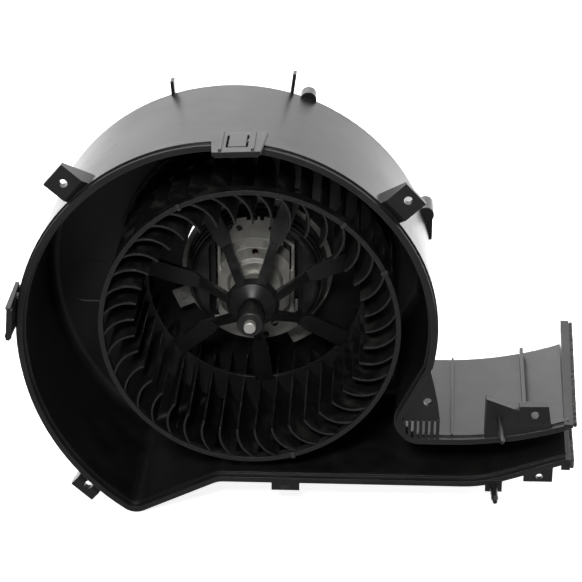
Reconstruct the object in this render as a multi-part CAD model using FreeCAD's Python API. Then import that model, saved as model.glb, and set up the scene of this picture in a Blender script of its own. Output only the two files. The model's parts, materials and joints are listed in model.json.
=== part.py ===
import FreeCAD, Part
import math
import os

# Car heater blower: motor half of a scroll casing, squirrel-cage wheel and its permanent-magnet motor.
# Millimetres. The origin is on the wheel's axis in the plane where the two casing halves meet.
# The axis is Y: the open side of the casing faces -Y, +Z is up, and the outlet duct leaves towards +X.

# ---- scroll casing ----
WALL = 2.2
CASING_DEPTH = 90.0
BACK_THICK = 2.5
SCROLL_R1, SCROLL_A1 = 91.8, 30.0       # first arc, centred on the axis, up to this angle
SCROLL_R2, SCROLL_A2 = 104.2, 183.0
SCROLL_R3, SCROLL_A3 = 121.0, 234.0
TONGUE_ANGLE = -12.0                    # where the drum wall leaves the first arc for the tongue
NOSE_X, NOSE_R = 86.0, 10.0
ROOF_Z, ROOF_X, ROOF_R = -59.3, 100.0, 185.0
FLOOR_Z, FLOOR_X, FLOOR_R = -85.5, 108.0, 60.0
FLOOR_BEND = 19.0
HEEL_R, HEEL_SLOPE, STEP_R = 9.0, 25.5, 12.0
DUCT_END_X = 160.0
COVE_R = 5.0
BACK_EDGE_R = 3.0
LIP_STEPS = ((0.7, 0.0, 3.0), (1.6, 3.0, 6.0))   # proud of the wall, from depth, to depth
LEDGE_IN, LEDGE_Y, LEDGE_DEPTH = 3.4, 3.5, 2.0
MOTOR_HOLE_R = 36.0
VENT_R, VENT_ANGLES, VENT_SPAN = 39.5, (166.0, 236.0, 274.0), 28.0
RESISTOR_WINDOW = (79.5, 84.0, -82.0, -75.0)
PAD_X, PAD_Z, PAD_R, PAD_DEPTH = (-101.0, -81.0), (-27.0, -3.0), 5.0, 0.8

# ---- outlet flange, leaning outwards towards the back ----
FLANGE_THICK = 4.5
FLANGE_LEAN = 3.4
FLANGE_BOTTOM_Z = -75.0
FLANGE_TOP_FRONT_Z, FLANGE_TOP_BACK_Z = -48.5, -36.0
SEAL_THICK = 2.0

# ---- wheel ----
WHEEL_R = 75.0
WHEEL_Y0, WHEEL_Y1 = 2.0, 86.0
RING_WIDTH, RING_DEPTH = 2.4, 4.0
BLADE_COUNT = 41
BLADE_IN_R, BLADE_OUT_R = 57.3, 73.6
BLADE_CURVE_R, BLADE_THICK = 16.0, 1.0
MID_RING_IN_R, MID_RING_OUT_R = 56.0, 72.0
MID_RING_Y, MID_RING_THICK = 58.0, 2.0
SPOKE_COUNT, SPOKE_PHASE = 7, 17.1
SPOKE_ROOT_R, SPOKE_KINK_R, SPOKE_END_R = 12.3, 29.0, 56.9
HUB_NOSE_R, NOSE_END_Y, NECK_Y, CONE_Y, HUB_END_Y = 6.6, 8.0, 22.0, 27.0, 46.0

# ---- motor ----
SHAFT_R = 3.0
SHAFT_Y0, SHAFT_Y1 = 4.0, 112.0
CAN_R, CAN_HALF_WIDTH, CAN_WALL = 28.0, 20.0, 1.6
CAN_Y0, CAN_Y1 = 62.0, 102.0
PLATE_R, PLATE_HALF_WIDTH = 36.2, 19.4
ARMATURE_R = 16.6
COMMUTATOR_R = 9.0
BEARING_R = 5.5
RUNNING_CLEARANCE = 0.02
HOLDER_R, HOLDER_IN_R, HOLDER_FLAT, HOLDER_MOUTH = 35.0, 30.0, 21.6, 24.4
EAR_ANGLES, EAR_R = (84.0, 204.0, 300.0), 43.5

# ---- casing details ----
TAB_WIDTH, TAB_THICK, TAB_Y = 14.0, 3.0, 1.0
TAB_HOLE_R, TAB_HOLE_LENGTH = 2.1, 4.0
# each wedge tab: angle, then radii of the wall, the tab's outer edge and the hole's centre
TABS = ((138.7, 107.2, 124.2, 117.5), (43.0, 92.5, 109.8, 104.8), (227.2, 119.6, 129.3, 123.8))
LOOP_SLOT, LOOP_TIP_Y, LOOP_ROOT_Y = 10.5, -16.5, 9.0
COMB_COUNT, COMB_PITCH, COMB_THICK = 7, 2.85, 1.5
DUCT_RIB_LEAN = 2.4
DUCT_MOUTH_LOW, DUCT_MOUTH_HIGH = -69.0, -50.5
BOSS_R, BOSS_HOLE_R, BOSS_HOLE_DEPTH, BOSS_END_Y = 4.2, 1.8, 8.0, 94.0
BOSS_PLACES, BOSS_START_Y = ((26.2, 91.0), (88.2, 31.0)), (85.0, 78.0)
POST_R, POST_Y = 4.0, 79.5

# ---- motor details ----
HOLDER_Y0, HOLDER_Y1 = 60.0, 98.0
BRACKET_Y, BRACKET_THICK = 76.0, 1.5
GROMMET_R = 4.4
SCREW_R, SCREW_HEAD = 1.6, 2.4
HUB_SLEEVE_R, SLEEVE_Y = 4.6, 12.0
MAGNET_Y0, MAGNET_Y1 = 65.0, 96.0
CORE_Y0, CORE_Y1 = 69.0, 92.0
SLOT_COUNT, SLOT_R, SLOT_CENTRE_R = 10, 2.1, 12.4
COMM_Y0, COMM_Y1 = 98.5, 107.0
CAP_END_Y = 115.0
CARD_Y = 98.4
BRUSH_Y0, BRUSH_Y1 = 101.0, 105.6
BRUSH_LENGTH = 9.0
BRUSH_BOX_END = 25.0
TERMINAL_X, TERMINAL_Z = (-3.6, 3.6), (-19.15, -18.35)
SPRING_TURNS, SPRING_R, SPRING_WIRE = 6, 1.7, 0.45

Y_AXIS = FreeCAD.Vector(0, 1, 0)
ORIGIN = FreeCAD.Vector(0, 0, 0)


def point(x, z, y=0.0):
    return FreeCAD.Vector(x, y, z)


def polar(radius, degrees, centre=(0.0, 0.0)):
    """A point in the XZ plane, as (x, z)."""
    angle = math.radians(degrees)
    return (centre[0] + radius * math.cos(angle), centre[1] + radius * math.sin(angle))


def rod(radius, y0, y1, x=0.0, z=0.0):
    return Part.makeCylinder(radius, y1 - y0, point(x, z, y0), Y_AXIS)


def cone(r0, r1, y0, y1, x=0.0, z=0.0):
    return Part.makeCone(r0, r1, y1 - y0, point(x, z, y0), Y_AXIS)


def tube(outer, inner, y0, y1, x=0.0, z=0.0):
    return rod(outer, y0, y1, x, z).cut(rod(inner, y0 - 1, y1 + 1, x, z))


def block(x0, x1, y0, y1, z0, z1):
    return Part.makeBox(x1 - x0, y1 - y0, z1 - z0, FreeCAD.Vector(x0, y0, z0))


def plate(points, y0, y1):
    """A flat polygon of (x, z) corners, between two depths."""
    corners = [point(x, z, y0) for x, z in points]
    face = Part.Face(Part.makePolygon(corners + corners[:1]))
    return face.extrude(FreeCAD.Vector(0, y1 - y0, 0))


def turned(shape, degrees):
    """The shape turned about the Y axis, from +X towards +Z."""
    copy = shape.copy()
    copy.rotate(ORIGIN, Y_AXIS, -degrees)
    return copy


def joined(first, others):
    return first.multiFuse(list(others)).removeSplitter()


def arc(centre, radius, start, end):
    middle = (start + end) / 2.0
    ends = [point(*polar(radius, angle, centre)) for angle in (start, middle, end)]
    return Part.Arc(*ends).toShape()


def line(start, end):
    return Part.makeLine(point(*start), point(*end))


# ---------------------------------------------------------------- casing
def scroll_centres():
    """Centres of the scroll's three tangent arcs."""
    second = polar(SCROLL_R1 - SCROLL_R2, SCROLL_A1)
    third = polar(SCROLL_R2 - SCROLL_R3, SCROLL_A2, second)
    return (0.0, 0.0), second, third


def tangent_angle(start, centre, radius):
    """Angle on the circle where a line from start touches it, on the circle's far left."""
    dx = start[0] - centre[0]
    dz = start[1] - centre[1]
    base = math.degrees(math.atan2(dz, dx))
    return base + math.degrees(math.acos(radius / math.hypot(dx, dz)))


def casing_outline(inset, end_x):
    """The scroll and duct outline, moved inwards by inset, cut off at end_x."""
    first, second, third = scroll_centres()
    heel = polar(SCROLL_R3 - HEEL_R, SCROLL_A3, third)
    heel_end = 270.0 + HEEL_SLOPE
    slope = math.radians(HEEL_SLOPE)
    heel_point = polar(HEEL_R - inset, heel_end, heel)
    floor = FLOOR_Z + inset
    meet_x = heel_point[0] + (floor - heel_point[1]) / math.tan(slope)
    step_r = STEP_R + inset
    reach = step_r * math.tan(slope / 2.0)
    step_centre = (meet_x + reach, floor - step_r)
    step_start = polar(step_r, 90.0 + HEEL_SLOPE, step_centre)
    floor_centre = (FLOOR_X, FLOOR_Z + FLOOR_R)
    floor_end = polar(FLOOR_R - inset, 270.0 + FLOOR_BEND, floor_centre)
    end_low = (end_x, floor_end[1] + (end_x - floor_end[0]) * math.tan(math.radians(FLOOR_BEND)))
    roof_centre = (ROOF_X, ROOF_Z + ROOF_R)
    roof_r = ROOF_R + inset
    roof_angle = 270.0 + math.degrees(math.asin((end_x - ROOF_X) / roof_r))
    end_high = polar(roof_r, roof_angle, roof_centre)
    nose_centre = (NOSE_X, ROOF_Z + NOSE_R)
    nose_r = NOSE_R + inset
    drum_start = polar(SCROLL_R1 - inset, TONGUE_ANGLE)
    touch = tangent_angle(drum_start, nose_centre, nose_r)
    edges = [
        arc(first, SCROLL_R1 - inset, TONGUE_ANGLE, SCROLL_A1),
        arc(second, SCROLL_R2 - inset, SCROLL_A1, SCROLL_A2),
        arc(third, SCROLL_R3 - inset, SCROLL_A2, SCROLL_A3),
        arc(heel, HEEL_R - inset, SCROLL_A3, heel_end),
        line(heel_point, step_start),
        arc(step_centre, step_r, 90.0 + HEEL_SLOPE, 90.0),
        line((step_centre[0], floor), (FLOOR_X, floor)),
        arc(floor_centre, FLOOR_R - inset, 270.0, 270.0 + FLOOR_BEND),
        line(floor_end, end_low),
        line(end_low, end_high),
        arc(roof_centre, roof_r, roof_angle, 270.0),
        line((ROOF_X, ROOF_Z - inset), (NOSE_X, ROOF_Z - inset)),
        arc(nose_centre, nose_r, 270.0, touch),
        line(polar(nose_r, touch, nose_centre), drum_start),
    ]
    return Part.Wire(Part.__sortEdges__(edges))


def casing_prism(inset, end_x, y0, y1):
    face = Part.Face(casing_outline(inset, end_x))
    face.translate(FreeCAD.Vector(0, y0, 0))
    return face.extrude(FreeCAD.Vector(0, y1 - y0, 0))


def edges_at_depth(shape, y):
    """Edges that lie wholly in the plane at depth y."""
    return [e for e in shape.Edges if abs(e.BoundBox.YMin - y) < 1e-4 and abs(e.BoundBox.YMax - y) < 1e-4]


def casing_shell():
    long_end = DUCT_END_X + 8.0
    outer = casing_prism(0.0, long_end, 0.0, CASING_DEPTH)
    outer = outer.makeFillet(BACK_EDGE_R, edges_at_depth(outer, CASING_DEPTH))
    inner_back = CASING_DEPTH - BACK_THICK
    cavity = casing_prism(WALL, DUCT_END_X + 20.0, -1.0, inner_back)
    cavity = cavity.makeFillet(COVE_R, edges_at_depth(cavity, inner_back))
    steps = [casing_prism(-proud, long_end, y0, y1) for proud, y0, y1 in LIP_STEPS]
    ledge = casing_prism(WALL - 0.5, long_end, LEDGE_Y, LEDGE_Y + LEDGE_DEPTH)
    ledge = ledge.cut(casing_prism(LEDGE_IN, DUCT_END_X + 20.0, LEDGE_Y - 1.0, LEDGE_Y + LEDGE_DEPTH + 1.0))
    shell = outer.fuse(steps).cut(cavity).fuse(ledge)
    return shell.cut(beyond_flange())


def beyond_flange():
    """Everything past the middle of the leaning outlet flange."""
    beyond = block(0.0, 60.0, -40.0, 140.0, -120.0, 0.0)
    beyond.rotate(ORIGIN, FreeCAD.Vector(0, 0, 1), -FLANGE_LEAN)
    beyond.translate(FreeCAD.Vector(DUCT_END_X - 2.0 + FLANGE_THICK / 2.0, 0, 0))
    return beyond


def over_drum(shape, angle):
    """Move a shape built above the axis (radial +Z, tangential X) round to this angle."""
    return turned(shape, angle - 90.0)


def side_profile(corners, x0, x1):
    """A flat polygon of (y, z) corners, between two X positions."""
    points = [FreeCAD.Vector(x0, y, z) for y, z in corners]
    face = Part.Face(Part.makePolygon(points + points[:1]))
    return face.extrude(FreeCAD.Vector(x1 - x0, 0, 0))


def screw_tab(angle, wall_r, outer_r, hole_at):
    """Wedge-shaped block on the drum with a screw hole through it."""
    root = wall_r - 1.5
    front = [(6.0, root), (TAB_Y, wall_r + 4.5), (TAB_Y, outer_r)]
    corners = front + [(TAB_Y + TAB_THICK, outer_r), (18.0, root)]
    wedge = side_profile(corners, -TAB_WIDTH / 2.0, TAB_WIDTH / 2.0)
    hole = rod(TAB_HOLE_R, -1.0, 25.0, 0.0, hole_at)
    spot_face = rod(4.0, TAB_Y + TAB_HOLE_LENGTH, 25.0, 0.0, hole_at)
    return over_drum(wedge.cut([hole, spot_face]), angle)


def flat_plate(corners, z0, z1):
    """A flat polygon of (x, y) corners, between two heights."""
    points = [FreeCAD.Vector(x, y, z0) for x, y in corners]
    return Part.Face(Part.makePolygon(points + points[:1])).extrude(FreeCAD.Vector(0, 0, z1 - z0))


def snap_loop(angle, wall_r, width):
    """Clip: a tapering plate on two posts, reaching forward over the joint, with a sprung tongue in it."""
    low, high = wall_r + 2.2, wall_r + 4.2
    half = width / 2.0
    tip = half - 2.2
    post_x = half - 3.0
    catch = tip - 1.0
    slot = LOOP_SLOT / 2.0
    outline = [(-tip, LOOP_TIP_Y), (tip, LOOP_TIP_Y), (half, LOOP_ROOT_Y), (-half, LOOP_ROOT_Y)]
    body = flat_plate(outline, low, high)
    gap = block(-slot, slot, -10.5, 5.0, low - 1.0, high + 1.0)
    gap = gap.cut(block(1.1 - slot, slot - 1.1, -9.4, 6.0, low - 2.0, high + 2.0))
    edge = low - 0.8
    lip = [(LOOP_TIP_Y, low), (LOOP_TIP_Y, edge), (LOOP_TIP_Y + 1.8, edge), (LOOP_TIP_Y + 2.8, low)]
    pieces = [side_profile(lip, -catch, catch)]
    for side in (-1.0, 1.0):
        x = side * post_x
        pieces.append(block(x - 1.6, x + 1.6, 6.5, LOOP_ROOT_Y, wall_r - 1.5, low + 0.5))
        rib = side * (slot + 2.4)
        pieces.append(block(rib - 0.7, rib + 0.7, LOOP_TIP_Y + 2.0, LOOP_ROOT_Y, high - 0.5, high + 0.8))
    return over_drum(joined(body.cut(gap), pieces), angle)


def tongue_plate():
    """Gusset with a screw hole that closes the front of the tongue, with its comb of ribs below."""
    corners = [(86.0, -17.0), (89.5, -17.0), (92.0, -27.4), (94.4, -38.7)]
    corners += [(95.8, -48.5), (77.5, -48.5), (77.0, -42.0)]
    gusset = plate(corners, 0.5, 3.0).cut(rod(TAB_HOLE_R, -1.0, 5.0, 89.2, -37.4))
    centre = (NOSE_X, ROOF_Z + NOSE_R)
    ribs = []
    for i in range(COMB_COUNT):
        x = 77.8 + i * COMB_PITCH
        aside = min(x - centre[0], 0.0)
        drop = math.sqrt((NOSE_R + 1.0) ** 2 - aside ** 2)
        ribs.append(block(x - COMB_THICK / 2.0, x + COMB_THICK / 2.0, 0.0, 6.0, centre[1] - drop, -48.0))
    return joined(gusset, ribs)


def duct_bracket():
    """Upright bracket on the duct's joint edge, with a screw hole and a forward locating spigot."""
    web = plate([(118.6, -35.3), (119.3, -60.0), (152.5, -56.0), (150.0, -43.0), (135.0, -41.5)], 0.5, 3.0)
    box = plate([(135.2, -38.9), (149.8, -38.6), (151.5, -49.0), (135.2, -50.0)], 0.0, 5.5)
    side = block(118.6, 121.0, 0.5, 9.0, -60.0, -37.0)
    bracket = joined(web, [box, side]).cut(rod(TAB_HOLE_R, -1.0, 7.0, 143.1, -43.6))
    return bracket.fuse(spigot(125.5, -47.0, 1.6, -22.0, 2.0))


def spigot(x, z, radius, tip_y, root_y):
    """Round locating pin with a tapered tip."""
    taper = 3.0
    body = rod(radius, tip_y + taper, root_y, x, z)
    return body.fuse(cone(radius * 0.55, radius, tip_y, tip_y + taper, x, z))


def foot_details():
    """Small tabs and the lower spigot along the bottom edge."""
    catch = block(10.7, 25.1, 0.0, 4.0, -90.5, -84.0).cut(block(15.5, 20.0, -1.0, 5.0, -89.2, -88.0))
    corner = plate([(139.3, -82.6), (154.0, -82.6), (154.0, -72.5), (139.3, -77.5)], 0.5, 3.5)
    corner = corner.cut(rod(1.7, -1.0, 5.0, 147.3, -79.6))
    shoulder = block(120.0, 128.6, -0.2, 8.0, -88.6, -82.0)
    pin = spigot(124.3, -86.2, 2.0, -14.0, 1.0)
    return [catch, corner, shoulder, pin]


def duct_ribs():
    """Stiffening ribs across the duct's roof, leaning with the flange."""
    ribs = []
    for front_x, thick, height in ((101.5, 1.2, 2.2), (138.0, 1.9, 4.2)):
        rib = block(front_x, front_x + thick, 3.0, 86.0, ROOF_Z - 1.0, ROOF_Z + 14.0)
        rib.rotate(FreeCAD.Vector(front_x, 0, 0), FreeCAD.Vector(0, 0, 1), -DUCT_RIB_LEAN)
        ribs.append(rib.common(roof_band(height)))
    return ribs


def roof_band(height):
    """The space just above the duct's roof, up to this height."""
    centre = point(ROOF_X, ROOF_Z + ROOF_R, 0.0)
    band = Part.makeCylinder(ROOF_R + 0.8, 100.0, centre, Y_AXIS)
    return band.cut(Part.makeCylinder(ROOF_R - height, 120.0, centre - FreeCAD.Vector(0, 10, 0), Y_AXIS))


def back_details():
    """Fins and screw bosses along the back edge of the drum."""
    fins = []
    for x, low, high, lean in ((-42.7, 86.0, 100.3, 4.0), (17.2, 90.0, 105.2, -8.0)):
        fin = block(x - 0.9, x + 0.9, 84.5, 90.5, low, high)
        fin.rotate(point(x, low), Y_AXIS, -lean)
        fins.append(fin)
    fins.append(block(89.0, 91.8, 80.0, 92.0, 16.0, 29.0))
    bosses = [rod(BOSS_R, y0, BOSS_END_Y, x, z) for (x, z), y0 in zip(BOSS_PLACES, BOSS_START_Y)]
    return fins + bosses


def boss_holes():
    return [rod(BOSS_HOLE_R, BOSS_END_Y - BOSS_HOLE_DEPTH, BOSS_END_Y + 1.0, x, z) for x, z in BOSS_PLACES]


def vent_slots():
    """Curved cooling slots beside the motor's hole in the back wall."""
    ring = tube(VENT_R, MOTOR_HOLE_R - 0.5, CASING_DEPTH - 5.0, CASING_DEPTH + 2.0)
    wide = 2.0 * VENT_R
    half = wide * math.tan(math.radians(VENT_SPAN / 2.0))
    wedge = plate([(0.0, 0.0), (wide, -half), (wide, half)], CASING_DEPTH - 5.0, CASING_DEPTH + 2.0)
    return [ring.common(turned(wedge, angle)) for angle in VENT_ANGLES]


def bracket_posts():
    """Three posts inside the back wall that carry the motor bracket on its rubber grommets."""
    back = CASING_DEPTH - BACK_THICK
    posts = []
    for angle in EAR_ANGLES:
        x, z = polar(EAR_R, angle)
        posts.append(rod(POST_R, POST_Y, back + 0.5, x, z))
    return posts


def screw_holes():
    """Holes for the bracket screws, through the posts from the back."""
    places = [polar(EAR_R, angle) for angle in EAR_ANGLES]
    return [rod(SCREW_R + 0.3, POST_Y - 1.0, CASING_DEPTH + 1.0, x, z) for x, z in places]


def back_pad():
    """Shallow rounded recess on the inside of the back wall."""
    y0 = CASING_DEPTH - BACK_THICK
    pad = block(PAD_X[0], PAD_X[1], y0 - 0.5, y0 + PAD_DEPTH, PAD_Z[0], PAD_Z[1])
    corners = [e for e in pad.Edges if e.BoundBox.YLength > PAD_DEPTH]
    return pad.makeFillet(PAD_R, corners)


def tab_holes():
    """The tabs' holes again, through anything of the rim that stands in them."""
    places = [polar(tab[3], tab[0]) for tab in TABS]
    return [rod(TAB_HOLE_R, -1.0, TAB_Y + TAB_HOLE_LENGTH, x, z) for x, z in places]


def scroll_casing():
    shell = casing_shell()
    tabs = [screw_tab(*tab) for tab in TABS]
    loops = [snap_loop(92.3, 97.8, 27.0), snap_loop(174.9, 113.4, 22.0)]
    extras = tabs + loops + foot_details() + duct_ribs() + back_details()
    extras += [tongue_plate(), duct_bracket(), outlet_flange()]
    cavity = casing_prism(WALL, DUCT_END_X + 20.0, -30.0, CASING_DEPTH - BACK_THICK - COVE_R)
    outside = [piece.cut(cavity) for piece in extras]
    shell = joined(shell, outside + bracket_posts())
    cuts = [rod(MOTOR_HOLE_R, CASING_DEPTH - 5.0, CASING_DEPTH + 2.0)] + vent_slots() + boss_holes()
    x0, x1, z0, z1 = RESISTOR_WINDOW
    cuts.append(block(x0, x1, CASING_DEPTH - 4.0, CASING_DEPTH + 1.0, z0, z1))
    cuts += screw_holes() + tab_holes() + [back_pad()]
    return shell.cut(cuts).removeSplitter()


def end_frame(inner_x, thick):
    """A leaning U-shaped frame round the duct's mouth, open at the joint plane."""
    low, top0, top1 = FLANGE_BOTTOM_Z, FLANGE_TOP_FRONT_Z, FLANGE_TOP_BACK_Z
    slab = side_profile([(0.0, low), (0.0, top0), (92.0, top1), (92.0, low)], 0.0, thick)
    opening = block(-1.0, thick + 1.0, -1.0, 86.5, DUCT_MOUTH_LOW, DUCT_MOUTH_HIGH)
    frame = slab.cut(opening)
    frame.rotate(ORIGIN, FreeCAD.Vector(0, 0, 1), -FLANGE_LEAN)
    frame.translate(FreeCAD.Vector(inner_x, 0, 0))
    return frame


def outlet_flange():
    return end_frame(DUCT_END_X - 2.0, FLANGE_THICK)


def outlet_seal():
    lean = math.radians(FLANGE_LEAN)
    seal = end_frame(DUCT_END_X - 2.0 + FLANGE_THICK / math.cos(lean), SEAL_THICK)
    return seal.common(block(150.0, 180.0, 0.3, 91.0, FLANGE_BOTTOM_Z + 0.5, 0.0))


# ---------------------------------------------------------------- wheel
def blade_sweep():
    """Angle of the blade's arc from its inner tip to where it meets BLADE_OUT_R."""
    a = BLADE_IN_R * BLADE_CURVE_R
    b = BLADE_CURVE_R ** 2
    c = (BLADE_OUT_R ** 2 - BLADE_IN_R ** 2) / 2.0 - b
    return math.degrees(math.atan2(b, a) + math.asin(c / math.hypot(a, b)))


def blade_face(y):
    """Section of one forward-curved blade: an arc that starts radially at the inner tip."""
    centre = (BLADE_IN_R, BLADE_CURVE_R)
    start = 270.0
    end = start + blade_sweep()
    middle = (start + end) / 2.0
    outer_r = BLADE_CURVE_R + BLADE_THICK / 2.0
    inner_r = BLADE_CURVE_R - BLADE_THICK / 2.0
    outer = Part.Arc(*[point(*polar(outer_r, a, centre), y) for a in (start, middle, end)])
    inner = Part.Arc(*[point(*polar(inner_r, a, centre), y) for a in (end, middle, start)])
    tip = Part.makeLine(inner.EndPoint, outer.StartPoint)
    root = Part.makeLine(outer.EndPoint, inner.StartPoint)
    return Part.Face(Part.Wire([outer.toShape(), root, inner.toShape(), tip]))


def wheel_blades():
    blade = blade_face(WHEEL_Y0 + 0.8).extrude(FreeCAD.Vector(0, WHEEL_Y1 - WHEEL_Y0 - 1.6, 0))
    blade = blade.cut(wheel_rings())
    return [turned(blade, i * 360.0 / BLADE_COUNT) for i in range(BLADE_COUNT)]


def spoke():
    """One arm from the hub cone out to the mid ring, widening outwards and leaning back."""
    side = [(SPOKE_ROOT_R, 31.8), (SPOKE_KINK_R, 48.2), (SPOKE_END_R, 57.0),
            (SPOKE_END_R, 59.8), (SPOKE_KINK_R, 51.0), (SPOKE_ROOT_R, 36.2)]
    points = [point(r, -6.0, y) for r, y in side]
    arm = Part.Face(Part.makePolygon(points + points[:1])).extrude(FreeCAD.Vector(0, 0, 12.0))
    half_plan = [(0.0, 2.3), (27.0, 2.4), (34.0, 4.4), (64.0, 5.0)]
    plan = [(r, -width) for r, width in half_plan] + half_plan[::-1]
    arm = arm.common(plate(plan, 20.0, 70.0))
    slot = [(13.0, 33.0), (SPOKE_KINK_R, 48.9), (SPOKE_KINK_R, 45.0), (13.0, 29.5)]
    points = [point(r, -1.4, y) for r, y in slot]
    channel = Part.Face(Part.makePolygon(points + points[:1])).extrude(FreeCAD.Vector(0, 0, 2.8))
    return arm.cut(channel)


def wheel_hub():
    """Long hub nose with fine ribs, a waisted neck and a conical base that the arms grow from."""
    nose = rod(HUB_NOSE_R, NOSE_END_Y, NECK_Y)
    nose = nose.makeFillet(1.2, edges_at_depth(nose, NOSE_END_Y))
    neck = rod(5.8, NECK_Y - 0.5, CONE_Y + 1.0)
    shoulder = cone(6.2, 11.6, CONE_Y, CONE_Y + 4.0)
    skirt = cone(11.6, 13.6, CONE_Y + 4.0, CONE_Y + 7.0)
    core = rod(7.2, CONE_Y + 1.0, HUB_END_Y)
    body = joined(nose, [neck, shoulder, skirt, core])
    hollow = tube(12.2, 7.2, CONE_Y + 5.5, HUB_END_Y + 1.0)
    rib = block(5.0, HUB_NOSE_R + 0.35, NOSE_END_Y + 2.5, NECK_Y, -0.35, 0.35)
    ribs = [turned(rib, i * 20.0) for i in range(18)]
    hub = joined(body.cut(hollow), ribs)
    return hub.cut([rod(HUB_SLEEVE_R, SLEEVE_Y, 50.0), rod(SHAFT_R + 0.02, NOSE_END_Y - 1.0, 50.0)])


def wheel_rings():
    """Front ring with its bead, rear ring and the mid ring that the arms end on."""
    ring = tube(WHEEL_R, WHEEL_R - RING_WIDTH, WHEEL_Y0, WHEEL_Y0 + RING_DEPTH)
    bead = tube(WHEEL_R, WHEEL_R - 1.6, WHEEL_Y0 + RING_DEPTH - 0.5, WHEEL_Y0 + RING_DEPTH + 2.5)
    rear = tube(WHEEL_R, WHEEL_R - RING_WIDTH, WHEEL_Y1 - RING_DEPTH, WHEEL_Y1)
    mid = tube(MID_RING_OUT_R, MID_RING_IN_R, MID_RING_Y, MID_RING_Y + MID_RING_THICK)
    return [ring.fuse(bead).removeSplitter(), rear, mid]


def wheel_arms(hub, rings):
    arms = [turned(spoke(), SPOKE_PHASE + i * 360.0 / SPOKE_COUNT) for i in range(SPOKE_COUNT)]
    return [arm.cut([hub] + rings) for arm in arms]


def hub_sleeve():
    """Knurled metal insert that grips the shaft inside the plastic hub."""
    sleeve = tube(HUB_SLEEVE_R, SHAFT_R, SLEEVE_Y, HUB_END_Y)
    grooves = [tube(HUB_SLEEVE_R + 1.0, HUB_SLEEVE_R - 0.4, y, y + 1.2) for y in (16.0, 24.0, 32.0, 40.0)]
    return sleeve.cut(grooves)


def balance_clips(rings):
    """Small steel clips pushed on the front ring to balance the wheel."""
    clips = []
    for angle in (51.5, 26.5, 287.0, 117.0):
        outer = block(WHEEL_R - RING_WIDTH - 0.5, WHEEL_R + 0.5, WHEEL_Y0 - 0.5, WHEEL_Y0 + 0.8, -0.9, 0.9)
        clips.append(turned(outer, angle).cut(rings))
    return clips


# ---------------------------------------------------------------- motor stator
def flatted(radius, half_width, y0, y1):
    """A round body with two upright flats."""
    return rod(radius, y0, y1).common(block(-half_width, half_width, y0, y1, -radius, radius))


def motor_can():
    outer = flatted(CAN_R, CAN_HALF_WIDTH, CAN_Y0, CAN_Y1)
    return outer.cut(flatted(CAN_R - CAN_WALL, CAN_HALF_WIDTH - CAN_WALL, CAN_Y0 - 1.0, CAN_Y1 + 1.0))


def front_plate():
    """Stamped zinc-plated end plate with stepped rings, flat sides and fixing ears above and below."""
    y0 = CAN_Y0 - 1.6
    upper = [(10.0, 34.9), (11.2, 31.5), (13.6, 27.0), (14.3, 23.0), (14.3, 12.0)]
    upper = plate([(-x, z) for x, z in reversed(upper)] + upper, y0, CAN_Y0)
    crown = rod(PLATE_R, y0, CAN_Y0).common(block(-10.0, 10.0, y0, CAN_Y0, 30.0, 40.0))
    waist = block(-PLATE_HALF_WIDTH, PLATE_HALF_WIDTH, y0, CAN_Y0, -22.0, 6.0)
    chest = block(-17.7, 17.7, y0, CAN_Y0, 5.0, 14.0)
    lower = flatted(34.0, 22.0, y0, CAN_Y0).common(block(-30.0, 30.0, y0, CAN_Y0, -40.0, -21.0))
    flange = joined(upper, [crown, waist, chest, lower])
    step = cone(20.8, 24.2, 56.0, y0)
    step = step.common(block(-17.7, 17.7, 50.0, 65.0, -30.0, 30.0))
    dish = cone(13.0, 15.0, 54.0, 56.3)
    boss = rod(8.2, 51.8, 54.2)
    body = joined(flange, [step, dish, boss])
    inside = cone(19.4, 22.0, 57.4, CAN_Y0 + 0.1).common(block(-16.3, 16.3, 50.0, 65.0, -30.0, 30.0))
    hollow = [inside, cone(11.6, 13.4, 55.4, 57.5), rod(BEARING_R, 53.2, 56.0)]
    hollow.append(rod(SHAFT_R + 0.8, 50.0, 60.0))
    holes = [rod(1.7, 50.0, 65.0, x, z) for x, z in ((-8.4, 29.5), (8.4, 29.5), (0.0, 18.4), (5.0, -31.5))]
    notches = [block(x - 1.0, x + 1.0, 55.0, 65.0, 34.2, 38.0) for x in (-3.5, 0.0, 3.5)]
    notches.append(rod(2.0, 55.0, 65.0, 9.5, -24.6))
    return body.cut(hollow + holes + notches)


def motor_holder():
    """Black plastic sleeve round the motor, with a domed front collar and ridges."""
    body = rod(HOLDER_R, HOLDER_Y0 + 3.0, HOLDER_Y1)
    collar = rod(34.0, HOLDER_Y0, HOLDER_Y0 + 4.0)
    collar = collar.makeFillet(3.4, edges_at_depth(collar, HOLDER_Y0))
    ridges = [tube(r, 30.0, y, y + 2.0) for r, y in ((36.2, 66.5), (37.4, 70.5), (37.4, 74.0))]
    sleeve = joined(body, [collar] + ridges)
    bore = rod(HOLDER_IN_R, HOLDER_Y0 - 1.0, HOLDER_Y1 + 1.0)
    bore = bore.common(block(-HOLDER_FLAT, HOLDER_FLAT, HOLDER_Y0 - 1.0, HOLDER_Y1 + 1.0, -40.0, 40.0))
    mouth = flatted(HOLDER_IN_R + 1.0, HOLDER_MOUTH, HOLDER_Y0 - 1.0, HOLDER_Y0 + 8.0)
    relief = flatted(PLATE_R + 0.4, PLATE_HALF_WIDTH + 3.0, HOLDER_Y0 - 1.0, CAN_Y0)
    return sleeve.cut([bore, mouth, relief])


def holder_webs():
    """Ribs on the left and a long pad on the right that grip the flat sides of the motor can."""
    outside = HOLDER_FLAT + 0.6
    webs = [block(-outside, -CAN_HALF_WIDTH, 74.0, 96.0, z - 1.0, z + 1.0) for z in (-14.0, -4.0, 6.0, 16.0)]
    webs.append(block(CAN_HALF_WIDTH, outside, 74.0, 96.0, -17.0, 17.0))
    return webs


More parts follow.
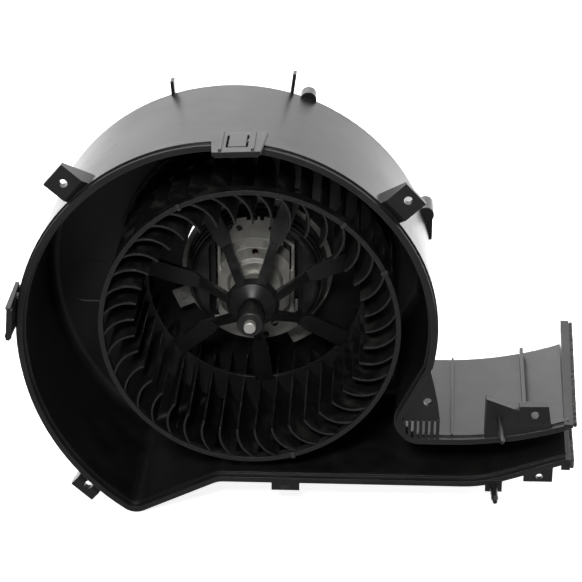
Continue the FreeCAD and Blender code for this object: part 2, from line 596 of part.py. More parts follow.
def mount_bracket():
    """Zinc-plated ring with three ears that carries the motor sleeve."""
    ring = rod(HOLDER_R + 5.0, BRACKET_Y, BRACKET_Y + BRACKET_THICK)
    ears = []
    for angle in EAR_ANGLES:
        ear = block(30.0, EAR_R + 4.5, BRACKET_Y, BRACKET_Y + BRACKET_THICK, -5.5, 5.5)
        ears.append(turned(ear, angle))
    body = joined(ring, ears).cut(rod(HOLDER_R, BRACKET_Y - 1.0, BRACKET_Y + 5.0))
    holes = [rod(SCREW_R, BRACKET_Y - 1.0, BRACKET_Y + 5.0, *polar(EAR_R, a)) for a in EAR_ANGLES]
    return body.cut(holes)


def at_ears(make):
    return [make(*polar(EAR_R, angle)) for angle in EAR_ANGLES]


def grommet(x, z):
    """Rubber washer between the bracket's ear and the casing's post."""
    return tube(GROMMET_R, SCREW_R + 0.3, BRACKET_Y + BRACKET_THICK, POST_Y, x, z)


def bracket_screw(x, z):
    """Pan-head screw from outside the back wall into the bracket's tapped ear."""
    top = CASING_DEPTH + SCREW_HEAD
    head = rod(3.4, CASING_DEPTH, top, x, z)
    head = head.makeFillet(0.9, edges_at_depth(head, top))
    shank = rod(SCREW_R, BRACKET_Y - 0.5, CASING_DEPTH + 1.0, x, z)
    recess = [block(x - 1.9, x + 1.9, top - 1.2, top + 1.0, z - 0.4, z + 0.4),
              block(x - 0.4, x + 0.4, top - 1.2, top + 1.0, z - 1.9, z + 1.9)]
    return head.fuse(shank).cut(recess)


def magnet(sign):
    """Curved ferrite block above or below the armature."""
    outer = flatted(CAN_R - CAN_WALL, CAN_HALF_WIDTH - CAN_WALL - 1.0, MAGNET_Y0, MAGNET_Y1)
    body = outer.cut(rod(ARMATURE_R + 0.9, MAGNET_Y0 - 1.0, MAGNET_Y1 + 1.0))
    upper = body.common(block(-40.0, 40.0, MAGNET_Y0, MAGNET_Y1, 6.0, 40.0))
    return upper if sign > 0 else turned(upper, 180.0)


def magnet_springs():
    """Two bent spring strips that wedge the magnets against the can."""
    x1 = CAN_HALF_WIDTH - CAN_WALL
    strip = block(x1 - 0.6, x1, MAGNET_Y0 + 3.0, MAGNET_Y1 - 3.0, -5.8, 5.8)
    return [strip, turned(strip, 180.0)]


def bearing(y0, y1):
    """Sintered bush with running clearance on the shaft."""
    return tube(BEARING_R, SHAFT_R + RUNNING_CLEARANCE, y0, y1)


def bearing_retainer(y0, outer_r, inner_r):
    """Star spring washer that holds a bush in its seat."""
    washer = tube(outer_r, inner_r, y0, y0 + 0.5)
    slit = block(inner_r - 1.0, outer_r - 2.0, y0 - 1.0, y0 + 2.0, -0.4, 0.4)
    slits = [turned(slit, i * 60.0) for i in range(6)]
    return washer.cut(slits)


def rear_cap():
    """Plastic end cap that carries the brush gear, the rear bush and the connector socket."""
    cap = flatted(CAN_R, CAN_HALF_WIDTH, CAN_Y1, CAN_Y1 + 8.0)
    boss = rod(10.0, CAN_Y1 + 7.0, CAP_END_Y)
    socket = block(-9.0, 9.0, CAN_Y1 + 7.0, CAN_Y1 + 19.0, -26.2, -11.3)
    cap = joined(cap, [boss, socket])
    hollow = flatted(CAN_R - 2.0, CAN_HALF_WIDTH - 2.0, CAN_Y1 - 1.0, CAN_Y1 + 5.5)
    seat = rod(BEARING_R, CAN_Y1 + 5.0, CAP_END_Y - 1.6)
    mouth = block(-7.4, 7.4, CAN_Y1 + 9.0, CAN_Y1 + 20.0, -24.6, -12.9)
    slots = [block(x - 3.15, x + 3.15, CAN_Y1 + 5.0, CAN_Y1 + 10.0, *TERMINAL_Z) for x in TERMINAL_X]
    return cap.cut([hollow, seat, mouth] + slots)


def brush_plate():
    """Insulating card inside the cap, with a hole for the commutator."""
    card = flatted(CAN_R - 2.05, CAN_HALF_WIDTH - 2.05, CARD_Y, CARD_Y + 1.6)
    return card.cut([rod(COMMUTATOR_R + 1.2, CARD_Y - 1.0, CARD_Y + 3.0),
                     block(-5.5, -1.5, CARD_Y - 1.0, CARD_Y + 3.0, -20.0, -17.0),
                     block(1.5, 5.5, CARD_Y - 1.0, CARD_Y + 3.0, -20.0, -17.0)])


def brush_box(sign):
    """Brass guide that a carbon brush slides in."""
    x1 = BRUSH_BOX_END
    outer = block(COMMUTATOR_R + 1.6, x1, BRUSH_Y0 - 0.55, BRUSH_Y1 + 0.55, -3.05, 3.05)
    inner = block(COMMUTATOR_R, x1 - 0.5, BRUSH_Y0 - 0.05, BRUSH_Y1 + 0.05, -2.55, 2.55)
    return turned(outer.cut(inner), 90.0 if sign > 0 else 270.0)


def brush(sign):
    """Carbon block with its end curved to the commutator."""
    body = block(COMMUTATOR_R - 0.5, COMMUTATOR_R + BRUSH_LENGTH, BRUSH_Y0, BRUSH_Y1, -2.5, 2.5)
    body = body.cut(rod(COMMUTATOR_R + 0.03, BRUSH_Y0 - 1.0, BRUSH_Y1 + 1.0))
    return turned(body, 90.0 if sign > 0 else 270.0)


def brush_spring(sign):
    """Coil spring behind a brush, drawn as stacked turns."""
    start, end = COMMUTATOR_R + BRUSH_LENGTH, BRUSH_BOX_END - 0.5
    pitch = (end - start) / SPRING_TURNS
    helix = Part.makeHelix(pitch, end - start - SPRING_WIRE, SPRING_R)
    profile = Part.Wire([Part.Circle(FreeCAD.Vector(SPRING_R, 0, 0), Y_AXIS, SPRING_WIRE / 2.0).toShape()])
    coil = Part.Wire([helix]).makePipeShell([profile], True, True)
    coil.translate(FreeCAD.Vector(0, 0, start + SPRING_WIRE / 2.0))
    coil.translate(FreeCAD.Vector(0, (BRUSH_Y0 + BRUSH_Y1) / 2.0, 0))
    return coil if sign > 0 else turned(coil, 180.0)


def terminals():
    """Two blades of the motor's connector."""
    blades = []
    for x in TERMINAL_X:
        blade = block(x - 3.15, x + 3.15, CAN_Y1 + 4.6, CAN_Y1 + 17.0, *TERMINAL_Z)
        hole = Part.makeCylinder(0.8, 4.0, FreeCAD.Vector(x, CAN_Y1 + 14.0, TERMINAL_Z[0] - 1.0))
        blades.append(blade.cut(hole))
    return blades


# ---------------------------------------------------------------- rotor
def shaft():
    body = rod(SHAFT_R, SHAFT_Y0, SHAFT_Y1)
    body = body.makeChamfer(0.6, edges_at_depth(body, SHAFT_Y0) + edges_at_depth(body, SHAFT_Y1))
    return body


def armature_core():
    """Laminated stack with slots for the winding."""
    core = tube(ARMATURE_R, SHAFT_R, CORE_Y0, CORE_Y1)
    slots = []
    for i in range(SLOT_COUNT):
        neck = block(ARMATURE_R - 2.0, ARMATURE_R + 1.0, CORE_Y0 - 1.0, CORE_Y1 + 1.0, -0.7, 0.7)
        room = rod(SLOT_R, CORE_Y0 - 1.0, CORE_Y1 + 1.0, SLOT_CENTRE_R, 0.0)
        slots += [turned(neck, i * 360.0 / SLOT_COUNT), turned(room, i * 360.0 / SLOT_COUNT)]
    return core.cut(slots)


def armature_winding():
    """Copper bars in the slots, joined by a rounded overhang at each end of the stack."""
    bars = []
    for i in range(SLOT_COUNT):
        bar = rod(SLOT_R - 0.25, CORE_Y0 - 1.0, CORE_Y1 + 1.0, SLOT_CENTRE_R, 0.0)
        bars.append(turned(bar, i * 360.0 / SLOT_COUNT))
    ends = []
    for y0, y1 in ((CORE_Y0 - 5.0, CORE_Y0 - 0.3), (CORE_Y1 + 0.3, CORE_Y1 + 5.0)):
        overhang = tube(SLOT_CENTRE_R + SLOT_R - 0.3, SHAFT_R + 1.6, y0, y1)
        rims = [e for e in overhang.Edges if e.Length > 2.0 * math.pi * SLOT_CENTRE_R]
        ends.append(overhang.makeFillet(1.4, [e for e in rims if e.Curve.TypeId == "Part::GeomCircle"]))
    return joined(ends[0], [ends[1]] + bars)


def commutator():
    """Copper bars round a plastic core, with riser hooks."""
    body = tube(COMMUTATOR_R, SHAFT_R, COMM_Y0, COMM_Y1)
    risers = tube(COMMUTATOR_R + 1.0, SHAFT_R, COMM_Y0 - 1.2, COMM_Y0)
    body = body.fuse(risers)
    gaps = []
    for i in range(SLOT_COUNT):
        gap = block(COMMUTATOR_R - 0.8, COMMUTATOR_R + 2.0, COMM_Y0 - 2.0, COMM_Y1 + 1.0, -0.2, 0.2)
        gaps.append(turned(gap, (i + 0.5) * 360.0 / SLOT_COUNT))
    return body.cut(gaps)


def thrust_washers():
    """Nylon washers either side of the armature."""
    return [tube(5.2, SHAFT_R, 60.2, 61.0), tube(5.2, SHAFT_R, COMM_Y1 + 0.2, COMM_Y1 + 0.8)]


def export(name, solids):
    """Write one sub-part; a list of solids becomes one group."""
    shape = Part.makeCompound(solids) if isinstance(solids, list) else solids
    bad = [s for s in shape.Solids if not s.isValid()]
    counts = f"solids {len(shape.Solids)} faces {len(shape.Faces)} bad {len(bad)}"
    print(f"{name:18s} {counts} volume {shape.Volume:.0f}")
    shape.exportStep(f"parts/{name}.step")


def main():
    os.makedirs("parts", exist_ok=True)
    export("scroll_casing", scroll_casing())
    export("outlet_seal", outlet_seal())
    export("motor_holder", joined(motor_holder(), holder_webs()))
    export("mount_bracket", mount_bracket())
    export("isolator_grommets", at_ears(grommet))
    export("bracket_screws", at_ears(bracket_screw))
    export("motor_front_plate", front_plate())
    export("motor_can", motor_can())
    export("upper_magnet", magnet(1))
    export("lower_magnet", magnet(-1))
    export("magnet_springs", magnet_springs())
    export("front_bearing", bearing(53.4, 58.4))
    export("front_bearing_retainer", bearing_retainer(58.5, 9.5, BEARING_R - 1.0))
    export("rear_bearing", bearing(CAN_Y1 + 6.0, CAP_END_Y - 1.7))
    export("rear_cap", rear_cap())
    export("brush_plate", brush_plate())
    export("brush_boxes", [brush_box(1), brush_box(-1)])
    export("upper_brush", brush(1))
    export("lower_brush", brush(-1))
    export("upper_brush_spring", brush_spring(1))
    export("lower_brush_spring", brush_spring(-1))
    export("terminals", terminals())
    export("motor_shaft", shaft())
    export("armature_core", armature_core())
    export("armature_winding", armature_winding())
    export("commutator", commutator())
    export("thrust_washers", thrust_washers())
    export("hub_sleeve", hub_sleeve())
    rings = wheel_rings()
    export("wheel_rings", rings)
    export("wheel_blades", wheel_blades())
    hub = wheel_hub()
    export("wheel_hub", hub)
    export("wheel_arms", wheel_arms(hub, rings))
    export("balance_clips", balance_clips(rings))


main()
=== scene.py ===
import json
import math

import bpy
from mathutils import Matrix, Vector


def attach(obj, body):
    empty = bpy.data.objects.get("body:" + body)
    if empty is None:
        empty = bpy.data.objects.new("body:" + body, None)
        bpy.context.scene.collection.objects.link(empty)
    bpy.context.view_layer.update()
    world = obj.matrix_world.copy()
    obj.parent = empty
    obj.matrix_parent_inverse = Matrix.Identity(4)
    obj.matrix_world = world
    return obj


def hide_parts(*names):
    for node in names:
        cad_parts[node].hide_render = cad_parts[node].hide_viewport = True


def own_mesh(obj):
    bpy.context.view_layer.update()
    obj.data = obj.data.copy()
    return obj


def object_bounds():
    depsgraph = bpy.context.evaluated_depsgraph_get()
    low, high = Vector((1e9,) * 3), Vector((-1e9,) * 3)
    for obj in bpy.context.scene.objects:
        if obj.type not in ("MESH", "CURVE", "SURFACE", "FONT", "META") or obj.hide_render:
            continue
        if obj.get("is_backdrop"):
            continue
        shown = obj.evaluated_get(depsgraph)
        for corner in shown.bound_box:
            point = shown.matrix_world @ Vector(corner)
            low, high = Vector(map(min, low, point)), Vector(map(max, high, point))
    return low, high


# Motor half of a car heater blower, in metres.
# The axis of the wheel is Y, the open side faces -Y and +Z is up.

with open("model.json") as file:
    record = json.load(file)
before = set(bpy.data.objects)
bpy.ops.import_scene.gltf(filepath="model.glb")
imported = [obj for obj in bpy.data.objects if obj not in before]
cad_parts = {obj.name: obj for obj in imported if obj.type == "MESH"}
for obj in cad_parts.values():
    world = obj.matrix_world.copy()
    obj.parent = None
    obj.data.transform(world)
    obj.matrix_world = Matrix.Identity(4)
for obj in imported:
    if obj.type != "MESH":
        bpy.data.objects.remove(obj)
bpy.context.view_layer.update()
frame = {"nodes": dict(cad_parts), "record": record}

MM = 0.001

# ---- camera and stage ----
CAMERA_AZIMUTH = 2.32
CAMERA_ELEVATION = 25.73
CAMERA_DISTANCE = 0.9021
CAMERA_TARGET = Vector((0.02076, 0.0, 0.02321))
CAMERA_LENS_MM = 114.43
SENSOR_MM = 36.0
FLOOR_SIZE = 8.0
FLOOR_GAP = 0.0005


def place_camera():
    azimuth = math.radians(CAMERA_AZIMUTH)
    elevation = math.radians(CAMERA_ELEVATION)
    back = Vector((math.sin(azimuth) * math.cos(elevation), -math.cos(azimuth) * math.cos(elevation),
                   math.sin(elevation)))
    data = bpy.data.cameras.new("camera")
    data.lens = CAMERA_LENS_MM
    data.sensor_width = SENSOR_MM
    data.clip_end = 50.0
    camera = bpy.data.objects.new("camera", data)
    bpy.context.scene.collection.objects.link(camera)
    camera.location = CAMERA_TARGET + back * CAMERA_DISTANCE
    camera.rotation_euler = (-back).to_track_quat("-Z", "Y").to_euler()
    bpy.context.scene.camera = camera


# ---- material helpers ----
RANGE_SOCKETS = ("From Min", "From Max", "To Min", "To Max")


class Finish:
    """A principled material whose colour, roughness and bump are fed by textures in object space."""

    def __init__(self, name, colour, roughness, metallic=0.0, **sockets):
        self.material = bpy.data.materials.new(name)
        self.material.use_nodes = True
        self.tree = self.material.node_tree
        self.shader = self.tree.nodes["Principled BSDF"]
        self.shader.inputs["Base Color"].default_value = (*colour, 1.0)
        self.shader.inputs["Roughness"].default_value = roughness
        self.shader.inputs["Metallic"].default_value = metallic
        for socket, value in sockets.items():
            self.shader.inputs[socket.replace("_", " ")].default_value = value
        self.place = self.tree.nodes.new("ShaderNodeTexCoord").outputs["Object"]

    def add(self, kind, **settings):
        node = self.tree.nodes.new(kind)
        for key, value in settings.items():
            setattr(node, key, value)
        return node

    def feed(self, value, socket):
        if isinstance(value, bpy.types.NodeSocket):
            self.tree.links.new(value, socket)
        else:
            socket.default_value = value

    def stretched(self, scale):
        mapping = self.add("ShaderNodeMapping")
        self.feed(self.place, mapping.inputs["Vector"])
        mapping.inputs["Scale"].default_value = scale
        return mapping.outputs["Vector"]

    def noise(self, scale, detail=3.0, roughness=0.5, stretch=None, distortion=0.0):
        node = self.add("ShaderNodeTexNoise")
        self.feed(self.stretched(stretch) if stretch else self.place, node.inputs["Vector"])
        node.inputs["Scale"].default_value = scale
        node.inputs["Detail"].default_value = detail
        node.inputs["Roughness"].default_value = roughness
        node.inputs["Distortion"].default_value = distortion
        return node.outputs["Fac"]

    def cells(self, scale, output="Distance"):
        node = self.add("ShaderNodeTexVoronoi")
        self.feed(self.place, node.inputs["Vector"])
        node.inputs["Scale"].default_value = scale
        return node.outputs[output]

    def ranged(self, value, low, high, to_low, to_high):
        node = self.add("ShaderNodeMapRange", clamp=True)
        self.feed(value, node.inputs["Value"])
        for socket, number in zip(RANGE_SOCKETS, (low, high, to_low, to_high)):
            node.inputs[socket].default_value = number
        return node.outputs["Result"]

    def maths(self, operation, first, second):
        node = self.add("ShaderNodeMath", operation=operation)
        self.feed(first, node.inputs[0])
        self.feed(second, node.inputs[1])
        return node.outputs[0]

    def mixed(self, amount, first, second):
        node = self.add("ShaderNodeMix", data_type="RGBA")
        self.feed(amount, node.inputs["Factor"])
        for value, socket in ((first, node.inputs[6]), (second, node.inputs[7])):
            self.feed(value if isinstance(value, bpy.types.NodeSocket) else (*value, 1.0), socket)
        return node.outputs[2]

    def upward(self):
        """1 where the surface faces up, 0 where it is upright or faces down."""
        geometry = self.add("ShaderNodeNewGeometry")
        split = self.add("ShaderNodeSeparateXYZ")
        self.feed(geometry.outputs["Normal"], split.inputs[0])
        return self.ranged(split.outputs["Z"], 0.3, 1.0, 0.0, 1.0)

    def colour(self, value):
        self.feed(value, self.shader.inputs["Base Color"])

    def rough(self, value):
        self.feed(value, self.shader.inputs["Roughness"])

    def bump(self, layers, edge=0.0):
        """Bumps of (height, distance in metres), from coarse to fine, over softened edges."""
        normal = None
        if edge > 0.0:
            bevel = self.add("ShaderNodeBevel", samples=6)
            bevel.inputs["Radius"].default_value = edge
            normal = bevel.outputs["Normal"]
        for height, distance in layers:
            node = self.add("ShaderNodeBump")
            self.feed(height, node.inputs["Height"])
            node.inputs["Distance"].default_value = distance
            if normal is not None:
                self.feed(normal, node.inputs["Normal"])
            normal = node.outputs["Normal"]
        self.feed(normal, self.shader.inputs["Normal"])


DUST = (0.11, 0.108, 0.104)
LAMINATION_MM = 0.5


def times(colour, factor):
    return tuple(min(channel * factor, 1.0) for channel in colour)


def moulded(name, colour, roughness, grain=1400.0, depth=0.012, specular=0.55):
    """Black engineering plastic: eroded mould grain, slow sink marks, rubbed patches and a little dust."""
    finish = Finish(name, colour, roughness, Specular_IOR_Level=specular)
    mottle = finish.noise(38.0, 4.0, 0.55)
    body = finish.mixed(finish.ranged(mottle, 0.35, 0.65, 0.0, 1.0), times(colour, 0.8), times(colour, 1.25))
    specks = finish.ranged(finish.noise(2100.0, 2.0, 0.6), 0.66, 0.74, 0.0, 1.0)
    film = finish.ranged(finish.noise(55.0, 5.0, 0.6), 0.42, 0.72, 0.0, 0.12)
    cover = finish.maths("ADD", finish.maths("MULTIPLY", specks, 0.3), film)
    dust = finish.maths("MULTIPLY", cover, finish.upward())
    finish.colour(finish.mixed(dust, body, DUST))
    rubbed = finish.ranged(finish.noise(75.0, 3.0, 0.6), 0.6, 0.72, 0.0, 0.04)
    patches = finish.ranged(finish.noise(26.0, 3.0, 0.5), 0.3, 0.7, roughness - 0.02, roughness + 0.03)
    finish.rough(finish.maths("ADD", patches, rubbed))
    sink = finish.noise(20.0, 1.5, 0.4)
    pores = finish.noise(grain, 3.0, 0.6)
    finish.bump([(sink, 0.09 * MM), (pores, depth * MM)], edge=0.45 * MM)
    return finish.material


def fibre_filled(name, colour, roughness):
    """Glass-filled nylon of the wheel: short fibre streaks and a slightly glossier skin."""
    finish = Finish(name, colour, roughness, Specular_IOR_Level=0.5)
    streaks = finish.ranged(finish.noise(700.0, 3.0, 0.6, (1.0, 0.15, 1.0), 0.6), 0.45, 0.75, 0.0, 1.0)
    body = finish.mixed(streaks, times(colour, 0.85), times(colour, 1.7))
    film = finish.ranged(finish.noise(90.0, 4.0, 0.6), 0.5, 0.75, 0.0, 0.4)
    finish.colour(finish.mixed(finish.maths("MULTIPLY", film, finish.upward()), body, (0.12, 0.118, 0.112)))
    finish.rough(finish.ranged(finish.noise(120.0, 4.0, 0.6), 0.3, 0.7, roughness - 0.07, roughness + 0.1))
    finish.bump([(finish.noise(60.0, 2.0, 0.5), 0.08 * MM), (streaks, 0.006 * MM)], edge=0.3 * MM)
    return finish.material


def plated(name, colour, roughness, spangle=260.0):
    """Dull zinc plate on pressed steel: faint spangle, passivation stains, shallow dents and small pits."""
    finish = Finish(name, colour, roughness, metallic=1.0)
    crystal = finish.cells(spangle, output="Color")
    split = finish.add("ShaderNodeSeparateColor")
    finish.feed(crystal, split.inputs[0])
    grains = split.outputs[0]
    stains = finish.ranged(finish.noise(70.0, 5.0, 0.65), 0.4, 0.75, 0.0, 1.0)
    tone = finish.mixed(finish.ranged(grains, 0.0, 1.0, 0.0, 0.5), times(colour, 0.86), times(colour, 1.1))
    finish.colour(finish.mixed(finish.maths("MULTIPLY", stains, 0.55), tone, times(colour, 0.55)))
    wear = finish.ranged(finish.noise(160.0, 4.0, 0.6), 0.3, 0.7, roughness - 0.08, roughness + 0.12)
    finish.rough(finish.maths("ADD", wear, finish.ranged(grains, 0.0, 1.0, -0.04, 0.04)))
    pits = finish.noise(1800.0, 3.0, 0.6)
    dents = finish.noise(120.0, 2.0, 0.5)
    finish.bump([(dents, 0.12 * MM), (pits, 0.008 * MM)], edge=0.3 * MM)
    return finish.material


def machined(name, colour, roughness, lines=2600.0, around=(1.0, 12.0, 1.0)):
    """Ground or turned metal with fine tool marks across the axis."""
    finish = Finish(name, colour, roughness, metallic=1.0)
    marks = finish.noise(lines / around[1], 2.0, 0.5, around)
    smudge = finish.noise(200.0, 4.0, 0.6)
    finish.colour(finish.mixed(finish.ranged(smudge, 0.35, 0.7, 0.0, 0.6), colour, times(colour, 0.72)))
    finish.rough(finish.ranged(smudge, 0.3, 0.7, roughness - 0.05, roughness + 0.12))
    finish.bump([(marks, 0.01 * MM)], edge=0.15 * MM)
    return finish.material


def laminated(name, colour, roughness):
    """Stack of thin laminations with varnish between them."""
    finish = Finish(name, colour, roughness, metallic=0.85)
    wave = finish.add("ShaderNodeTexWave", bands_direction="Y")
    finish.feed(finish.place, wave.inputs["Vector"])
    wave.inputs["Scale"].default_value = 25.0 * math.pi / LAMINATION_MM
    sheets = wave.outputs["Fac"]
    varnish = finish.ranged(finish.noise(180.0, 4.0, 0.6), 0.45, 0.7, 0.0, 0.7)
    finish.colour(finish.mixed(varnish, finish.mixed(sheets, times(colour, 0.6), times(colour, 1.2)),
                               (0.12, 0.05, 0.02)))
    finish.rough(finish.ranged(sheets, 0.0, 1.0, roughness + 0.15, roughness))
    finish.bump([(sheets, 0.05 * MM)])
    return finish.material


def pressed_powder(name, colour, roughness, grain=1500.0, metallic=0.0):
    """Ferrite, carbon or sintered bronze: granular, with darker pores."""
    finish = Finish(name, colour, roughness, metallic=metallic)
    grains = finish.cells(grain)
    pores = finish.ranged(grains, 0.2, 0.7, 0.0, 1.0)
    finish.colour(finish.mixed(pores, times(colour, 1.25), times(colour, 0.6)))
    finish.rough(finish.ranged(finish.noise(300.0), 0.3, 0.7, roughness - 0.08, roughness + 0.1))
    finish.bump([(grains, 0.02 * MM), (finish.noise(90.0), 0.1 * MM)], edge=0.3 * MM)
    return finish.material


def foam(name, colour):
    """Open-cell foam strip: painted shade darkens the pore hollows and painted light brightens the walls
    between them.
    """
    finish = Finish(name, colour, 0.95, Specular_IOR_Level=0.2, Sheen_Weight=0.25, Sheen_Roughness=0.5)
    pores = finish.cells(1100.0)
    big = finish.cells(420.0)
    depth = finish.maths("MULTIPLY", pores, big)
    # painted shade in the pore hollows and painted light on the raised walls, not a colour of the foam
    # itself
    pore_shade_and_wall_light = finish.ranged(depth, 0.05, 0.35, 0.0, 1.0)
    finish.colour(finish.mixed(pore_shade_and_wall_light, times(colour, 0.4), times(colour, 2.2)))
    finish.bump([(big, 0.4 * MM), (pores, 0.3 * MM)])
    return finish.material


def rubber(name, colour):
    finish = Finish(name, colour, 0.7, Specular_IOR_Level=0.35)
    bloom = finish.ranged(finish.noise(240.0, 5.0, 0.65), 0.4, 0.75, 0.0, 0.5)
    finish.colour(finish.mixed(bloom, colour, (0.09, 0.088, 0.084)))
    finish.rough(finish.ranged(finish.noise(500.0), 0.3, 0.7, 0.6, 0.82))
    finish.bump([(finish.noise(1700.0, 3.0), 0.02 * MM)], edge=0.3 * MM)
    return finish.material


def enamelled(name, colour):
    """Enamelled copper wire under a coat of amber resin."""
    finish = Finish(name, colour, 0.3, metallic=0.9, Coat_Weight=0.7, Coat_Roughness=0.15)
    resin = finish.ranged(finish.noise(260.0, 4.0, 0.6), 0.4, 0.7, 0.0, 0.8)
    finish.colour(finish.mixed(resin, colour, (0.3, 0.09, 0.02)))
    finish.rough(finish.ranged(finish.noise(900.0), 0.3, 0.7, 0.22, 0.42))
    finish.bump([(finish.noise(800.0, 2.0), 0.03 * MM)])
    return finish.material


def phenolic(name, colour):
    """Brown resin-bonded card with a cloth weave."""
    finish = Finish(name, colour, 0.55, Specular_IOR_Level=0.4)
    warp = finish.noise(900.0, 2.0, 0.5, (1.0, 1.0, 0.08))
    weft = finish.noise(900.0, 2.0, 0.5, (0.08, 1.0, 1.0))
    weave = finish.maths("MAXIMUM", warp, weft)
    threads = finish.ranged(weave, 0.45, 0.65, 0.0, 1.0)
    finish.colour(finish.mixed(threads, times(colour, 0.6), times(colour, 1.35)))
    finish.rough(finish.ranged(weave, 0.4, 0.7, 0.62, 0.42))
    finish.bump([(weave, 0.03 * MM)], edge=0.15 * MM)
    return finish.material


FINISHES = {
    "casing_plastic": lambda n: moulded(n, (0.007, 0.0069, 0.0067), 0.36),
    "wheel_plastic": lambda n: fibre_filled(n, (0.008, 0.008, 0.0078), 0.36),
    "holder_plastic": lambda n: moulded(n, (0.01, 0.01, 0.0096), 0.38, 1700.0, 0.012, 0.45),
    "foam": lambda n: foam(n, (0.018, 0.017, 0.016)),
    "rubber": lambda n: rubber(n, (0.012, 0.012, 0.012)),
    "zinc_steel": lambda n: plated(n, (0.6, 0.59, 0.55), 0.54),
    "screw_steel": lambda n: plated(n, (0.6, 0.6, 0.58), 0.3, 500.0),
    "shaft_steel": lambda n: machined(n, (0.92, 0.9, 0.85), 0.55),
    "spring_steel": lambda n: machined(n, (0.16, 0.16, 0.165), 0.3, 1800.0),
    "lamination": lambda n: laminated(n, (0.3, 0.3, 0.31), 0.4),
    "ferrite": lambda n: pressed_powder(n, (0.05, 0.05, 0.055), 0.6),
    "copper": lambda n: enamelled(n, (0.72, 0.3, 0.13)),
    "commutator_copper": lambda n: machined(n, (0.85, 0.45, 0.28), 0.25),
    "brass": lambda n: plated(n, (0.75, 0.55, 0.22), 0.28, 400.0),
    "bronze": lambda n: pressed_powder(n, (0.45, 0.3, 0.16), 0.4, 1500.0, 0.9),
    "carbon": lambda n: pressed_powder(n, (0.03, 0.03, 0.033), 0.5, 2200.0),
    "card": lambda n: phenolic(n, (0.2, 0.1, 0.04)),
    "nylon": lambda n: rubber(n, (0.62, 0.6, 0.54)),
}


def finish_cad_nodes():
    """Gives each carried-over part the finish of its material slot."""
    made = {slot: make(slot + "_finish") for slot, make in FINISHES.items()}
    for part in frame["record"]["subparts"]:
        node = frame["nodes"][part["node"]]
        for slot in node.material_slots:
            slot.material = made[part["material_slot"]]
    return made


# ---- pieces with a mesh of their own ----
SPRING_FIXED_Z = 24.5 * MM
SEAL_VOXEL = 0.55 * MM
SEAL_SETTLE_STEPS = 6


def cover_with(thing, material):
    thing.data.materials.clear()
    thing.data.materials.append(material)


def own_copy(node_name, name, material):
    node = frame["nodes"][node_name]
    thing = bpy.data.objects.new(name, node.data.copy())
    thing.matrix_world = node.matrix_world.copy()
    bpy.context.scene.collection.objects.link(thing)
    cover_with(thing, material)
    return thing


def brush_springs(material):
    """Copies of the two brush springs with meshes of their own, carried with the casing."""
    for side, fixed_z in (("upper", SPRING_FIXED_Z), ("lower", -SPRING_FIXED_Z)):
        coil = own_copy(side + "_brush_spring", side + "_coil_spring", material)
        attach(coil, "casing")
        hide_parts(side + "_brush_spring")
        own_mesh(coil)


def foam_seal(material):
    """The strip round the outlet: soft rounded edges and a slightly uneven face."""
    seal = own_copy("outlet_seal", "outlet_seal_foam", material)
    remesh = seal.modifiers.new("remesh", "REMESH")
    remesh.mode = "VOXEL"
    remesh.voxel_size = SEAL_VOXEL
    remesh.use_smooth_shade = True
    soften = seal.modifiers.new("soften", "SMOOTH")
    soften.factor = 0.5
    soften.iterations = SEAL_SETTLE_STEPS
    lumps = bpy.data.textures.new("foam_lumps", "CLOUDS")
    lumps.noise_scale = 4.0 * MM
    uneven = seal.modifiers.new("uneven", "DISPLACE")
    uneven.texture = lumps
    uneven.strength = 0.12 * MM
    uneven.mid_level = 0.75
    apply_modifiers(seal)
    cover_with(seal, material)
    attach(seal, "casing")
    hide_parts("outlet_seal")


def apply_modifiers(thing):
    graph = bpy.context.evaluated_depsgraph_get()
    made = bpy.data.meshes.new_from_object(thing.evaluated_get(graph))
    thing.modifiers.clear()
    thing.data = made


# ---- stage and light ----
def floor():
    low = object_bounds()[0]
    bpy.ops.mesh.primitive_grid_add(x_subdivisions=4, y_subdivisions=4, size=FLOOR_SIZE,
                                    location=(0.0, 0.0, low[2] - FLOOR_GAP))
    ground = bpy.context.object
    ground.name = "floor"
    finish = Finish("floor_finish", (0.9, 0.9, 0.9), 0.8, Specular_IOR_Level=0.1, Emission_Strength=0.8,
                    Emission_Color=(1.0, 1.0, 1.0, 1.0))
    finish.colour(finish.mixed(finish.noise(3.0, 2.0), (0.89, 0.89, 0.89), (0.92, 0.92, 0.92)))
    ground.data.materials.append(finish.material)
    ground.visible_glossy = False
    ground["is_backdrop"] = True


BACK_GLOW, FRONT_GLOW = 1.55, 0.09
LOW_GLOW = 2.6


def ramp(tree, source, span, strengths):
    node = tree.nodes.new("ShaderNodeMapRange")
    node.interpolation_type = "SMOOTHSTEP"
    for socket, number in zip(RANGE_SOCKETS, span + strengths):
        node.inputs[socket].default_value = number
    tree.links.new(source, node.inputs["Value"])
    return node.outputs["Result"]


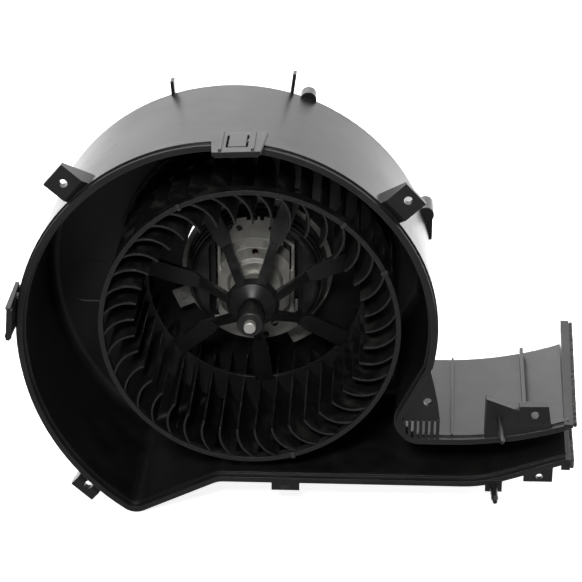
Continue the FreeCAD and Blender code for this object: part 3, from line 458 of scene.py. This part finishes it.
def surroundings():
    """White surround behind the object, brightest low down, and a dimmer room in front of it."""
    world = bpy.data.worlds.new("studio")
    bpy.context.scene.world = world
    world.use_nodes = True
    tree = world.node_tree
    lit = tree.nodes["Background"]
    plain = tree.nodes.new("ShaderNodeBackground")
    for background in (lit, plain):
        background.inputs["Color"].default_value = (1.0, 1.0, 1.0, 1.0)
    plain.inputs["Strength"].default_value = 1.0
    direction = tree.nodes.new("ShaderNodeSeparateXYZ")
    tree.links.new(tree.nodes.new("ShaderNodeTexCoord").outputs["Generated"], direction.inputs[0])
    strength = tree.nodes.new("ShaderNodeMath")
    strength.operation = "MULTIPLY"
    behind = ramp(tree, direction.outputs["Y"], (-0.35, 0.3), (FRONT_GLOW, BACK_GLOW))
    below = ramp(tree, direction.outputs["Z"], (0.15, -0.42), (1.0, LOW_GLOW))
    tree.links.new(behind, strength.inputs[0])
    tree.links.new(below, strength.inputs[1])
    tree.links.new(strength.outputs[0], lit.inputs["Strength"])
    choose = tree.nodes.new("ShaderNodeMixShader")
    seen = tree.nodes.new("ShaderNodeLightPath").outputs["Is Camera Ray"]
    tree.links.new(seen, choose.inputs[0])
    tree.links.new(lit.outputs[0], choose.inputs[1])
    tree.links.new(plain.outputs[0], choose.inputs[2])
    tree.links.new(choose.outputs[0], tree.nodes["World Output"].inputs["Surface"])


def softbox(name, place, target, size, watts):
    data = bpy.data.lights.new(name, "AREA")
    data.shape = "RECTANGLE"
    data.size, data.size_y = size
    data.energy = watts
    lamp = bpy.data.objects.new(name, data)
    bpy.context.scene.collection.objects.link(lamp)
    lamp.location = place
    lamp.rotation_euler = (Vector(target) - Vector(place)).to_track_quat("-Z", "Y").to_euler()


def light():
    surroundings()
    softbox("top_softbox", (0.1, 0.25, 1.3), (0.0, 0.05, 0.0), (1.2, 0.9), 9.0)
    softbox("front_softbox", (-0.1, -1.1, 0.88), (0.0, 0.05, 0.0), (0.22, 0.22), 11.0)
    softbox("roof_softbox", (0.0, 0.62, 0.17), (0.14, 0.03, -0.05), (0.16, 0.16), 0.07)
    softbox("back_left_softbox", (-0.3, 1.2, 0.38), (0.1, 0.03, -0.03), (0.5, 0.5), 0.35)


bpy.context.scene.view_settings.view_transform = "Standard"
place_camera()
finishes = finish_cad_nodes()
foam_seal(finishes["foam"])
brush_springs(finishes["spring_steel"])
floor()
light()
